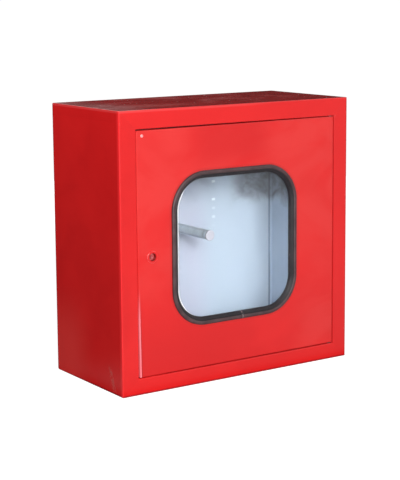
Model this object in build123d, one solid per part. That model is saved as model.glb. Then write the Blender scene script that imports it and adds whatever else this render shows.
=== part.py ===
from build123d import *
import os

os.makedirs("parts", exist_ok=True)

# A glazed steel wall cabinet for a rolled hose. Millimetres.
# X runs to the right, Y to the back and Z up, seen from the front.
# The origin is at the middle of the underside of the whole cabinet, window gasket included.
# A "depth" is measured backwards from the front face of the casing.

# Casing sheet metal
WIDTH = 600.0
HEIGHT = 600.0
DEPTH = 285.0
SHEET = 1.2
BEND_OUTER = 2.5
BEND_INNER = BEND_OUTER - SHEET
CORNER_ROUND = 2.2

# Front frame around the door: its width on each side, and the folds behind it
FRAME_LEFT = 40.0
FRAME_RIGHT = 37.5
FRAME_TOP = 40.0
FRAME_BOTTOM = 36.0
STOP_DEPTH = 21.0
STOP_LIP = 16.0

# Back panel, which closes the casing from behind on the walls' back flanges
BACK_FLANGE = 10.0
BACK_SETBACK = 0.8
WALL_HOLE_SPACING = 500.0
WALL_HOLE_RADIUS = 4.5

# Door tray
DOOR_GAP = 2.5
DOOR_DEPTH = 16.0
DOOR_LIP = 7.0

# Window: the outline is the gasket's outer edge
WINDOW_WIDTH = 331.0
WINDOW_HEIGHT = 335.0
WINDOW_RADIUS = 84.0
WINDOW_X = -10.0
WINDOW_Z = 296.5
GASKET_PROUD = 5.0
GASKET_WIDTH = 17.5
SKIN_EDGE = 8.5
PANE_EDGE = 11.5
PANE_DEPTH = 5.5
PANE_THICKNESS = 4.0
GASKET_JOINT_X = 5.0
GASKET_JOINT_GAP = 0.8

# Hinge pins
HINGE_INSET = 6.5
HINGE_DEPTH = 6.5
PIN_RADIUS = 2.5
PIN_RUNNING_GAP = 0.08
PIN_HEAD_RADIUS = 3.9
PIN_HEAD_LENGTH = 3.0
PIN_REACH = 14.0
HINGE_WASHER_RADIUS = 5.0
HINGE_WASHER_GAP = 0.3
BRACKET_PLATE = 3.0
BRACKET_LENGTH = 30.0
BRACKET_FRONT = 2.6
BRACKET_BACK = 13.4

# Door seal strips on the stop lip
SEAL_OFFSET = 2.0
SEAL_WIDTH = 7.0
SEAL_THICKNESS = 4.2
SEAL_THICKNESS_HINGE = 2.2
SEAL_HINGE_CLEARANCE = 14.0

# Lock
LOCK_X = -224.0
LOCK_Z = 291.5
LOCK_FLANGE_RADIUS = 13.0
LOCK_FLANGE_PROUD = 1.6
LOCK_BARREL_RADIUS = 10.0
LOCK_BARREL_DEPTH = 21.0
LOCK_RECESS_RADIUS = 8.5
LOCK_RECESS_DEPTH = 7.4
LOCK_NUT_SIZE = 27.0
LOCK_NUT_THICKNESS = 5.0
SPINDLE_RADIUS = 6.0
SPINDLE_GAP = 0.06
SPINDLE_SQUARE = 7.0
SPINDLE_TOP_DEPTH = 2.0
COLLAR_RADIUS = 7.4
COLLAR_THICKNESS = 1.0
COLLAR_GAP = 0.2
CAM_DEPTH = 24.8
CAM_THICKNESS = 2.5
CAM_HUB_RADIUS = 9.0
CAM_WIDTH = 14.0
CAM_REACH = 28.0
CAM_SCREW_HEAD_RADIUS = 5.0
CAM_SCREW_HEAD = 3.0
CAM_SCREW_RADIUS = 2.5
CAM_SCREW_LENGTH = 12.0
STRIKE_THICKNESS = 2.0
STRIKE_HEIGHT = 44.0
STRIKE_WIDTH = 13.0

# Door buffer near the top left corner of the door
BUFFER_FROM_LEFT = 11.0
BUFFER_FROM_TOP = 11.0
BUFFER_RADIUS = 3.6
BUFFER_GAP = 0.4
RIVET_HEAD_RADIUS = 3.4
RIVET_HEAD_HEIGHT = 1.9
RIVET_RADIUS = 1.5
RIVET_LENGTH = 8.0

# Hose peg
PEG_X = 0.0
PEG_Z = 298.0
PEG_FREE_END_DEPTH = 114.0
PEG_RADIUS = 11.0
PEG_WALL = 1.5
PEG_CAP_RADIUS = 12.0
PEG_CAP_HEAD = 3.0
PEG_CAP_SPIGOT = 12.0
PEG_PLATE_SIZE = 46.0
PEG_PLATE_THICKNESS = 3.0
PEG_PLATE_ROUND = 5.0
STUD_SPACING = 30.0
STUD_RADIUS = 3.0
STUD_LENGTH = 11.8
WASHER_RADIUS = 6.25
WASHER_THICKNESS = 1.6
NUT_SIZE = 10.0
NUT_THICKNESS = 5.0

# Places worked out from the sizes above
FRONT_Y = GASKET_PROUD - (DEPTH + GASKET_PROUD) / 2
LEFT = -WIDTH / 2
RIGHT = WIDTH / 2
OPENING_LEFT = LEFT + FRAME_LEFT
OPENING_RIGHT = RIGHT - FRAME_RIGHT
OPENING_TOP = HEIGHT - FRAME_TOP
OPENING_BOTTOM = FRAME_BOTTOM
DOOR_LEFT = OPENING_LEFT + DOOR_GAP
DOOR_RIGHT = OPENING_RIGHT - DOOR_GAP
DOOR_TOP = OPENING_TOP - DOOR_GAP
DOOR_BOTTOM = OPENING_BOTTOM + DOOR_GAP
HINGE_X = DOOR_RIGHT - HINGE_INSET
PANEL_FRONT_DEPTH = DEPTH - SHEET


def front_plane(depth):
    """A plane parallel to the door: its x is X, its y is Z, and its normal points to the front."""
    return Plane(origin=(0, FRONT_Y + depth, 0), x_dir=(1, 0, 0), z_dir=(0, -1, 0))


def plate(sketch, front, back):
    """A flat piece with the outline of the sketch, between two depths."""
    return extrude(front_plane(back) * sketch, amount=back - front)


def disc(x, z, radius, front, back):
    """A round piece whose axis runs front to back."""
    return plate(Pos(x, z) * Circle(radius), front, back)


def rod(x, depth, radius, low, high):
    """A round piece whose axis is vertical."""
    base = Plane(origin=(x, FRONT_Y + depth, low))
    return extrude(base * Circle(radius), amount=high - low)


def block(left, right, front, back, low, high):
    """A plain block given by its six sides."""
    centre = ((left + right) / 2, FRONT_Y + (front + back) / 2, (low + high) / 2)
    return Pos(*centre) * Box(right - left, back - front, high - low)


def hexagon(x, z, across_flats, front, back):
    """A hexagonal piece whose axis runs front to back."""
    outline = Pos(x, z) * RegularPolygon(radius=across_flats / 2, side_count=6, major_radius=False)
    return plate(outline, front, back)


def write(shape, node):
    export_step(shape, f"parts/{node}.step")


def folded_section(shown, shown_radii, hidden, hidden_radii):
    """The section of a folded sheet, from the lines of its shown face and its hidden face."""
    shown_side = FilletPolyline(*shown, radius=shown_radii)
    hidden_side = FilletPolyline(*hidden, radius=hidden_radii)
    start = Line(hidden[0], shown[0])
    end = Line(shown[-1], hidden[-1])
    return make_face([shown_side, end, hidden_side, start])


def side_place(side, left, right, bottom, top):
    """The plane of a side's section: x points inwards, y to the back, and the side runs along z."""
    corners = {
        "left": ((left, bottom), (1, 0, 0), (0, 0, 1), top - bottom),
        "right": ((right, top), (-1, 0, 0), (0, 0, -1), top - bottom),
        "top": ((left, top), (0, 0, -1), (1, 0, 0), right - left),
        "bottom": ((right, bottom), (0, 0, 1), (-1, 0, 0), right - left),
    }
    (x, z), inwards, along, length = corners[side]
    return Plane(origin=(x, FRONT_Y, z), x_dir=inwards, z_dir=along), length


def mitre_wedge(side, outer, inner, reach):
    """The space of one side between its two mitres. Each mitre runs from outer corner to inner corner."""
    left, right, bottom, top = outer
    inner_left, inner_right, inner_bottom, inner_top = inner
    corners = {
        ("left", "top"): ((left, top), (inner_left, inner_top)),
        ("right", "top"): ((right, top), (inner_right, inner_top)),
        ("left", "bottom"): ((left, bottom), (inner_left, inner_bottom)),
        ("right", "bottom"): ((right, bottom), (inner_right, inner_bottom)),
    }
    ends = [pair for key, pair in corners.items() if side in key]
    points = []
    for (x0, z0), (x1, z1) in ends:
        points.append(((x0, z0), (x0 + (x1 - x0) * reach, z0 + (z1 - z0) * reach)))
    outline = Polyline(points[0][0], points[0][1], points[1][1], points[1][0], close=True)
    return plate(make_face(outline), -1, DEPTH + 1)


def rounded_prism(left, right, bottom, top, radius):
    """A block through the whole depth whose four long edges are rounded."""
    outline = RectangleRounded(right - left, top - bottom, radius)
    return plate(Pos((left + right) / 2, (bottom + top) / 2) * outline, -1, DEPTH + 1)


def casing_wall(side, frame_width):
    """A back flange, a wall, its part of the front frame and the stop lip behind the door, in one sheet."""
    lip_end = frame_width + STOP_LIP
    shown = [
        (BACK_FLANGE, PANEL_FRONT_DEPTH),
        (0, PANEL_FRONT_DEPTH),
        (0, 0),
        (frame_width, 0),
        (frame_width, STOP_DEPTH),
        (lip_end, STOP_DEPTH),
    ]
    hidden = [
        (BACK_FLANGE, PANEL_FRONT_DEPTH - SHEET),
        (SHEET, PANEL_FRONT_DEPTH - SHEET),
        (SHEET, SHEET),
        (frame_width - SHEET, SHEET),
        (frame_width - SHEET, STOP_DEPTH + SHEET),
        (lip_end, STOP_DEPTH + SHEET),
    ]
    shown_radii = [BEND_OUTER, BEND_OUTER, BEND_OUTER, BEND_INNER]
    hidden_radii = [BEND_INNER, BEND_INNER, BEND_INNER, BEND_OUTER]
    section = folded_section(shown, shown_radii, hidden, hidden_radii)
    place, length = side_place(side, LEFT, RIGHT, 0, HEIGHT)
    wall = place * extrude(section, amount=length)
    outer = (LEFT, RIGHT, 0, HEIGHT)
    inner = (OPENING_LEFT, OPENING_RIGHT, OPENING_BOTTOM, OPENING_TOP)
    wall = wall & mitre_wedge(side, outer, inner, reach=1.6)
    return wall & rounded_prism(LEFT, RIGHT, 0, HEIGHT, CORNER_ROUND)


def walls():
    write(casing_wall("left", FRAME_LEFT), "side_wall_left")
    write(casing_wall("right", FRAME_RIGHT), "side_wall_right")
    top = casing_wall("top", FRAME_TOP) - hinge_hole(OPENING_TOP)
    write(top, "top_wall")
    bottom = casing_wall("bottom", FRAME_BOTTOM) - hinge_hole(OPENING_BOTTOM)
    write(bottom, "bottom_wall")


def hinge_hole(level):
    """The hole that holds a hinge pin in the frame."""
    return rod(HINGE_X, HINGE_DEPTH, PIN_RADIUS, level - 2 * SHEET, level + 2 * SHEET)


def back_panel():
    """The flat back sheet, welded to the walls' back flanges, with four holes for the wall fixings."""
    side = WIDTH - 2 * BACK_SETBACK
    height = HEIGHT - 2 * BACK_SETBACK
    outline = Pos(0, HEIGHT / 2) * RectangleRounded(side, height, CORNER_ROUND)
    panel = plate(outline, PANEL_FRONT_DEPTH, DEPTH)
    half = WALL_HOLE_SPACING / 2
    for x in (-half, half):
        for z in (HEIGHT / 2 - half, HEIGHT / 2 + half):
            panel -= disc(x, z, WALL_HOLE_RADIUS, PANEL_FRONT_DEPTH - 1, DEPTH + 1)
    write(panel, "back_panel")


def stud_centres():
    half = STUD_SPACING / 2
    return [(PEG_X + sx * half, PEG_Z + sz * half) for sx in (-1, 1) for sz in (-1, 1)]


def hose_peg():
    """A capped tube on a square plate, held by four welded studs with washers and nuts."""
    plate_front = PANEL_FRONT_DEPTH - PEG_PLATE_THICKNESS
    outline = Pos(PEG_X, PEG_Z) * RectangleRounded(PEG_PLATE_SIZE, PEG_PLATE_SIZE, PEG_PLATE_ROUND)
    base = plate(outline, plate_front, PANEL_FRONT_DEPTH)
    for x, z in stud_centres():
        base -= disc(x, z, STUD_RADIUS, plate_front - 1, PANEL_FRONT_DEPTH + 1)
    write(base, "hose_peg_plate")

    tube_front = PEG_FREE_END_DEPTH + PEG_CAP_HEAD
    bore = PEG_RADIUS - PEG_WALL
    tube = disc(PEG_X, PEG_Z, PEG_RADIUS, tube_front, plate_front)
    tube -= disc(PEG_X, PEG_Z, bore, tube_front - 1, plate_front + 1)
    write(tube, "hose_peg_tube")

    head = disc(PEG_X, PEG_Z, PEG_CAP_RADIUS, PEG_FREE_END_DEPTH, tube_front)
    front_edge = head.edges().sort_by(Axis.Y)[0]
    head = fillet(front_edge, PEG_CAP_HEAD * 0.6)
    spigot = disc(PEG_X, PEG_Z, bore, tube_front, tube_front + PEG_CAP_SPIGOT)
    write(head + spigot, "hose_peg_end_cap")


def peg_fasteners():
    studs = []
    washers = []
    nuts = []
    washer_back = PANEL_FRONT_DEPTH - PEG_PLATE_THICKNESS
    washer_front = washer_back - WASHER_THICKNESS
    nut_front = washer_front - NUT_THICKNESS
    for x, z in stud_centres():
        studs.append(disc(x, z, STUD_RADIUS, PANEL_FRONT_DEPTH - STUD_LENGTH, PANEL_FRONT_DEPTH))
        hole = disc(x, z, STUD_RADIUS, nut_front - 1, washer_back + 1)
        washers.append(disc(x, z, WASHER_RADIUS, washer_front, washer_back) - hole)
        nuts.append(hexagon(x, z, NUT_SIZE, nut_front, washer_front) - hole)
    write(Compound(children=studs), "peg_weld_studs")
    write(Compound(children=washers), "peg_washers")
    write(Compound(children=nuts), "peg_nuts")


def door_seal():
    """Four foam strips on the stop lip. The strip beside the hinge is thinner, to clear the door."""
    near = SEAL_OFFSET
    far = SEAL_OFFSET + SEAL_WIDTH
    front = STOP_DEPTH - SEAL_THICKNESS
    hinge_front = STOP_DEPTH - SEAL_THICKNESS_HINGE
    low = OPENING_BOTTOM + near
    high = OPENING_TOP - near
    strip_left = OPENING_LEFT + far
    strip_right = HINGE_X - SEAL_HINGE_CLEARANCE
    strips = [
        block(OPENING_LEFT + near, strip_left, front, STOP_DEPTH, low, high),
        block(OPENING_RIGHT - far, OPENING_RIGHT - near, hinge_front, STOP_DEPTH, low, high),
        block(strip_left, strip_right, front, STOP_DEPTH, OPENING_TOP - far, high),
        block(strip_left, strip_right, front, STOP_DEPTH, low, OPENING_BOTTOM + far),
    ]
    write(Compound(children=strips), "door_seal")


def latch_strike_plate():
    """A plate behind the left stop lip, where the lock's cam bears."""
    lip_back = STOP_DEPTH + SHEET
    right = OPENING_LEFT + STOP_LIP - 1
    strike = block(
        right - STRIKE_WIDTH,
        right,
        lip_back,
        lip_back + STRIKE_THICKNESS,
        LOCK_Z - STRIKE_HEIGHT / 2,
        LOCK_Z + STRIKE_HEIGHT / 2,
    )
    write(strike, "latch_strike_plate")


def hinge_side(frame_level, door_level, up):
    """The pin and washer in the frame. up is 1 at the top of the door and -1 at the bottom."""
    tip = door_level - up * PIN_REACH
    head_near = frame_level + up * SHEET
    head_far = head_near + up * PIN_HEAD_LENGTH
    pin = rod(HINGE_X, HINGE_DEPTH, PIN_RADIUS, min(tip, head_near), max(tip, head_near))
    pin += rod(HINGE_X, HINGE_DEPTH, PIN_HEAD_RADIUS, min(head_near, head_far), max(head_near, head_far))
    washer_level = door_level + up * HINGE_WASHER_GAP
    low = min(frame_level, washer_level)
    high = max(frame_level, washer_level)
    washer = rod(HINGE_X, HINGE_DEPTH, HINGE_WASHER_RADIUS, low, high)
    washer -= rod(HINGE_X, HINGE_DEPTH, PIN_RADIUS, low - 1, high + 1)
    return pin, washer


def hinge_pins():
    pin, washer = hinge_side(OPENING_TOP, DOOR_TOP, 1)
    write(pin, "hinge_pin_top")
    write(washer, "hinge_washer_top")
    pin, washer = hinge_side(OPENING_BOTTOM, DOOR_BOTTOM, -1)
    write(pin, "hinge_pin_bottom")
    write(washer, "hinge_washer_bottom")


def hinge_bracket(door_level, up):
    """An angle inside the door tray, with the running bore for the hinge pin."""
    inner = door_level - up * SHEET
    plate_far = inner - up * BRACKET_PLATE
    leg_far = inner - up * BRACKET_LENGTH
    right = DOOR_RIGHT - SHEET
    bracket = block(
        right - BRACKET_LENGTH, right, BRACKET_FRONT, BRACKET_BACK, min(inner, plate_far), max(inner, plate_far)
    )
    bracket += block(
        right - BRACKET_PLATE, right, BRACKET_FRONT, BRACKET_BACK, min(inner, leg_far), max(inner, leg_far)
    )
    bore = PIN_RADIUS + PIN_RUNNING_GAP
    return bracket - rod(HINGE_X, HINGE_DEPTH, bore, min(inner, leg_far) - 1, max(inner, leg_far) + 1)


def hinge_brackets():
    write(hinge_bracket(DOOR_TOP, 1), "hinge_bracket_top")
    write(hinge_bracket(DOOR_BOTTOM, -1), "hinge_bracket_bottom")


def window_outline(edge):
    """The window's rounded outline, moved inwards by edge."""
    outline = RectangleRounded(WINDOW_WIDTH - 2 * edge, WINDOW_HEIGHT - 2 * edge, WINDOW_RADIUS - edge)
    return Pos(WINDOW_X, WINDOW_Z) * outline


def door_rim(side):
    """One folded side of the door tray, with enough of the front sheet to reach its neighbours."""
    front_reach = 40.0
    shown = [(front_reach, 0), (0, 0), (0, DOOR_DEPTH), (DOOR_LIP, DOOR_DEPTH)]
    hidden = [
        (front_reach, SHEET),
        (SHEET, SHEET),
        (SHEET, DOOR_DEPTH - SHEET),
        (DOOR_LIP, DOOR_DEPTH - SHEET),
    ]
    section = folded_section(shown, [BEND_OUTER, BEND_OUTER], hidden, [BEND_INNER, BEND_INNER])
    place, length = side_place(side, DOOR_LEFT, DOOR_RIGHT, DOOR_BOTTOM, DOOR_TOP)
    rim = place * extrude(section, amount=length)
    outer = (DOOR_LEFT, DOOR_RIGHT, DOOR_BOTTOM, DOOR_TOP)
    inner = (DOOR_LEFT + 1, DOOR_RIGHT - 1, DOOR_BOTTOM + 1, DOOR_TOP - 1)
    return rim & mitre_wedge(side, outer, inner, reach=front_reach)


def door_skin():
    """The door tray: front sheet, folded sides and a small lip all round, with its holes."""
    inset = 30.0
    skin = block(
        DOOR_LEFT + inset, DOOR_RIGHT - inset, 0, SHEET, DOOR_BOTTOM + inset, DOOR_TOP - inset
    )
    for side in ("left", "right", "top", "bottom"):
        skin += door_rim(side)
    skin = skin & rounded_prism(DOOR_LEFT, DOOR_RIGHT, DOOR_BOTTOM, DOOR_TOP, CORNER_ROUND)
    skin -= plate(window_outline(SKIN_EDGE), -1, SHEET + 1)
    skin -= disc(LOCK_X, LOCK_Z, LOCK_BARREL_RADIUS, -1, SHEET + 1)
    buffer_x, buffer_z = buffer_centre()
    skin -= disc(buffer_x, buffer_z, RIVET_RADIUS, -1, SHEET + 1)
    pin_clearance = PIN_RADIUS + 0.4
    for level in (DOOR_TOP, DOOR_BOTTOM):
        skin -= rod(HINGE_X, HINGE_DEPTH, pin_clearance, level - 2 * SHEET, level + 2 * SHEET)
    write(skin, "door_skin")


def window_ring(section_lines):
    """Sweeps a section round the window. The lines are drawn as (distance inwards, height to the front)."""
    section = make_face(section_lines)
    section = Plane.XZ * mirror(section, Plane.YZ)
    section = Pos(WINDOW_RADIUS, 0, 0) * section
    half_width = WINDOW_WIDTH / 2 - WINDOW_RADIUS
    half_height = WINDOW_HEIGHT / 2 - WINDOW_RADIUS
    corner = revolve(section, axis=Axis.Z, revolution_arc=90)
    corners = [
        (half_width, half_height, 0, 2 * half_width),
        (-half_width, half_height, 90, 2 * half_height),
        (-half_width, -half_height, 180, 2 * half_width),
        (half_width, -half_height, 270, 2 * half_height),
    ]
    ring = None
    for x, y, turn, run in corners:
        place = Pos(x, y, 0) * Rot(0, 0, turn)
        straight = Rot(0, 0, 90) * extrude(section, amount=run, dir=(0, 1, 0))
        piece = (place * corner) + (place * straight)
        ring = piece if ring is None else ring + piece
    ring = front_plane(0).location * Pos(WINDOW_X, WINDOW_Z, 0) * ring
    joint_left = GASKET_JOINT_X - GASKET_JOINT_GAP / 2
    low = WINDOW_Z - WINDOW_HEIGHT / 2
    slot = block(joint_left, joint_left + GASKET_JOINT_GAP, -10, DOOR_DEPTH, low - 5, low + GASKET_WIDTH + 5)
    return ring - slot


def window_gasket():
    """A rubber section that grips the door sheet outside and the pane inside, lower and behind it."""
    lip_top = (4.6, GASKET_PROUD)
    groove_left = 9.8
    groove_right = 13.4
    groove_floor = -1.2
    front_lip = ThreePointArc((0, 0), (1.3, 3.6), lip_top)
    front_slope = ThreePointArc(lip_top, (7.8, 4.5), (groove_left, 3.0))
    groove = Polyline(
        (groove_left, 3.0), (groove_left, groove_floor), (groove_right, groove_floor), (groove_right, 0.9)
    )
    inner_slope = ThreePointArc((groove_right, 0.9), (16.2, -1.2), (GASKET_WIDTH, -4.2))
    pane_back = PANE_DEPTH + PANE_THICKNESS
    inside = Polyline(
        (GASKET_WIDTH, -4.2),
        (GASKET_WIDTH, -PANE_DEPTH),
        (PANE_EDGE, -PANE_DEPTH),
        (PANE_EDGE, -pane_back),
        (GASKET_WIDTH - 1, -pane_back),
        (GASKET_WIDTH - 2, -pane_back - 2.5),
        (10.0, -pane_back - 3.0),
        (6.5, -5.4),
        (1.5, -4.4),
        (1.5, -SHEET),
        (SKIN_EDGE, -SHEET),
        (SKIN_EDGE, 0),
        (0, 0),
    )
    write(window_ring([front_lip, front_slope, groove, inner_slope, inside]), "window_gasket")

    strip_top = ThreePointArc((groove_right, 0.9), (11.8, 2.4), (groove_left, 3.0))
    strip_sides = Polyline(
        (groove_left, 3.0), (groove_left, groove_floor), (groove_right, groove_floor), (groove_right, 0.9)
    )
    write(window_ring([strip_sides, strip_top]), "gasket_locking_strip")


def window_pane():
    write(plate(window_outline(PANE_EDGE), PANE_DEPTH, PANE_DEPTH + PANE_THICKNESS), "window_pane")


def buffer_centre():
    return DOOR_LEFT + BUFFER_FROM_LEFT, DOOR_TOP - BUFFER_FROM_TOP


def door_buffer():
    """A rubber stop behind the door's top left corner, and the dome-headed rivet that holds it."""
    x, z = buffer_centre()
    rivet = disc(x, z, RIVET_HEAD_RADIUS, -RIVET_HEAD_HEIGHT, 0)
    front_edge = rivet.edges().sort_by(Axis.Y)[0]
    rivet = fillet(front_edge, RIVET_HEAD_HEIGHT * 0.9)
    rivet += disc(x, z, RIVET_RADIUS, 0, RIVET_LENGTH)
    write(rivet, "door_buffer_rivet")
    buffer = disc(x, z, BUFFER_RADIUS, SHEET, STOP_DEPTH - BUFFER_GAP)
    buffer -= disc(x, z, RIVET_RADIUS, 0, RIVET_LENGTH)
    write(buffer, "door_buffer")


def lock_housing():
    """A flanged cup through the door, with a recess for the key and a bore for the spindle."""
    flange = disc(LOCK_X, LOCK_Z, LOCK_FLANGE_RADIUS, -LOCK_FLANGE_PROUD, 0)
    front_edge = flange.edges().sort_by(Axis.Y)[0]
    flange = fillet(front_edge, LOCK_FLANGE_PROUD * 0.7)
    housing = flange + disc(LOCK_X, LOCK_Z, LOCK_BARREL_RADIUS, 0, LOCK_BARREL_DEPTH)
    housing -= disc(LOCK_X, LOCK_Z, LOCK_RECESS_RADIUS, -LOCK_FLANGE_PROUD - 1, LOCK_RECESS_DEPTH)
    housing -= disc(LOCK_X, LOCK_Z, SPINDLE_RADIUS + SPINDLE_GAP, 0, LOCK_BARREL_DEPTH + 1)
    write(housing, "lock_housing")
    nut = hexagon(LOCK_X, LOCK_Z, LOCK_NUT_SIZE, SHEET, SHEET + LOCK_NUT_THICKNESS)
    nut -= disc(LOCK_X, LOCK_Z, LOCK_BARREL_RADIUS, 0, SHEET + LOCK_NUT_THICKNESS + 1)
    write(nut, "lock_nut")


def lock_square(front, back):
    outline = Pos(LOCK_X, LOCK_Z) * RectangleRounded(SPINDLE_SQUARE, SPINDLE_SQUARE, 0.8)
    return plate(outline, front, back)


def latch():
    """The spindle turned by the key, the cam on its back end and the screw that holds the cam."""
    collar_back = LOCK_RECESS_DEPTH - COLLAR_GAP
    collar_front = collar_back - COLLAR_THICKNESS
    cam_back = CAM_DEPTH + CAM_THICKNESS
    screw_tip = cam_back - CAM_SCREW_LENGTH
    spindle = lock_square(SPINDLE_TOP_DEPTH, collar_front)
    spindle += disc(LOCK_X, LOCK_Z, COLLAR_RADIUS, collar_front, collar_back)
    spindle += disc(LOCK_X, LOCK_Z, SPINDLE_RADIUS, collar_back, CAM_DEPTH)
    spindle += lock_square(CAM_DEPTH, cam_back)
    spindle -= disc(LOCK_X, LOCK_Z, CAM_SCREW_RADIUS, screw_tip, cam_back + 1)
    write(spindle, "lock_spindle")

    tip_radius = CAM_WIDTH / 2
    arm_length = CAM_REACH - tip_radius
    outline = Pos(LOCK_X, LOCK_Z) * Circle(CAM_HUB_RADIUS)
    outline += Pos(LOCK_X, LOCK_Z - arm_length / 2) * Rectangle(CAM_WIDTH, arm_length)
    outline += Pos(LOCK_X, LOCK_Z - arm_length) * Circle(tip_radius)
    cam = plate(outline, CAM_DEPTH, cam_back) - lock_square(CAM_DEPTH - 1, cam_back + 1)
    write(cam, "lock_cam")

    screw = disc(LOCK_X, LOCK_Z, CAM_SCREW_HEAD_RADIUS, cam_back, cam_back + CAM_SCREW_HEAD)
    screw += disc(LOCK_X, LOCK_Z, CAM_SCREW_RADIUS, screw_tip, cam_back)
    write(screw, "lock_cam_screw")


walls()
back_panel()
hose_peg()
peg_fasteners()
door_seal()
latch_strike_plate()
hinge_pins()
hinge_brackets()
door_skin()
window_gasket()
window_pane()
door_buffer()
lock_housing()
latch()
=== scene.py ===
import math

import bmesh
import bpy
from mathutils import Matrix, Vector, noise

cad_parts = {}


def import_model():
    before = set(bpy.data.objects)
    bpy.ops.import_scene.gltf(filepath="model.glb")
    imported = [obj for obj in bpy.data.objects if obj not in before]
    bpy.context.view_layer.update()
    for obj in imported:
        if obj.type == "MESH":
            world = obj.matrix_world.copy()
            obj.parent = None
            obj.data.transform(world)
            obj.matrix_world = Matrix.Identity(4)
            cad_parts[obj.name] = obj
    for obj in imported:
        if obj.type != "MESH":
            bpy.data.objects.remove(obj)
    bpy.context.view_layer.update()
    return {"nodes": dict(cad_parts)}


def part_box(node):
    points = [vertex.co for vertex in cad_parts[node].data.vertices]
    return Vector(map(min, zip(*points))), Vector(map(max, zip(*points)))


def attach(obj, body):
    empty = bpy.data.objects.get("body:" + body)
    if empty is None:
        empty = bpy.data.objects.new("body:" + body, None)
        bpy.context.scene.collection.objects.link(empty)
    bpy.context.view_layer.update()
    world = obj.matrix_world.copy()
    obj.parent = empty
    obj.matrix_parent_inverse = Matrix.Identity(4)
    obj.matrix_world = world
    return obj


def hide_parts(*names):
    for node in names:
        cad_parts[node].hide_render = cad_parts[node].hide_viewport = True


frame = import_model()
nodes = frame["nodes"]

# A red steel wall cabinet for a rolled fire hose. Metres, in the CAD's own frame:
# X to the right, Y to the back, Z up. The frame gives every place; sizes of small details are below.
MM = 0.001
SHEET = 1.2 * MM
PAINT_STEP = 0.95 * MM
STOP_DEPTH = 21 * MM

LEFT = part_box("side_wall_left")[0].x
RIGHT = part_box("side_wall_right")[1].x
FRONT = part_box("side_wall_left")[0].y
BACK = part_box("back_panel")[1].y
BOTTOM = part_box("bottom_wall")[0].z
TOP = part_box("top_wall")[1].z
DOOR_LOW, DOOR_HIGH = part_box("door_skin")
DOOR_GAP = 2.5 * MM
OPENING = (DOOR_LOW.x - DOOR_GAP, DOOR_HIGH.x + DOOR_GAP, DOOR_LOW.z - DOOR_GAP, DOOR_HIGH.z + DOOR_GAP)
WINDOW_LOW, WINDOW_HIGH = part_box("window_gasket")
WINDOW_CENTRE = (WINDOW_LOW + WINDOW_HIGH) / 2
WINDOW_RADIUS = 84 * MM
JOINT_OFFSET = 15 * MM
JOINT_GAP = 2.4 * MM
STRIP_SPACING = 4 * MM
PANE_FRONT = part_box("window_pane")[0].y
LOCK = (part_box("lock_housing")[0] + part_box("lock_housing")[1]) / 2
PEG_LOW, PEG_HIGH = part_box("hose_peg_tube")
PEG_X = (PEG_LOW.x + PEG_HIGH.x) / 2
PEG_Z = (PEG_LOW.z + PEG_HIGH.z) / 2

RED = (0.70, 0.012, 0.0125)
RED_DEEP = (0.58, 0.008, 0.009)
RED_SHEEN_HAZE = (0.71, 0.040, 0.036)
RED_PALER = (0.79, 0.045, 0.040)
RED_TOP_HIGHLIGHT = (0.95, 0.115, 0.12)
RED_WORN_HIGHLIGHT = (0.86, 0.06, 0.06)
RED_GAP_LIT = (0.96, 0.05, 0.05)
RED_BEND_HIGHLIGHT = (1.0, 0.03, 0.035)
RED_SHADED = (0.20, 0.010, 0.014)
RED_GAP_SHADE = (0.22, 0.008, 0.010)
RED_DARK_RING = (0.30, 0.018, 0.018)
RED_RIM_SHADE = (0.25, 0.015, 0.018)
RED_IN_LOCK = (0.25, 0.008, 0.006)
RED_RUBBED = (0.90, 0.22, 0.22)
RED_CRACK = (0.36, 0.01, 0.012)
BARE_STEEL = (0.12, 0.04, 0.035)
DUST = (0.34, 0.26, 0.25)
PALE_TOP_GREY = (0.62, 0.54, 0.53)
SCUFF = (0.42, 0.22, 0.19)
WHITE = (0.405, 0.465, 0.555)
WHITE_DULL = (0.365, 0.42, 0.495)
WALL_WHITE = (0.43, 0.515, 0.65)
WALL_DULL = (0.33, 0.405, 0.53)
LAVENDER_REFLECTION = (0.42, 0.43, 0.53)
PALE_DOT = (0.68, 0.74, 0.77)
PEG_SHADOW_GREY = (0.16, 0.18, 0.21)
DARK_JOINT = (0.13, 0.165, 0.22)
DARK_HIGH_INSIDE = (0.115, 0.115, 0.13)
UNDERCOAT_HIGHLIGHT = (0.88, 0.20, 0.235)


# ---------------------------------------------------------------- materials

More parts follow.
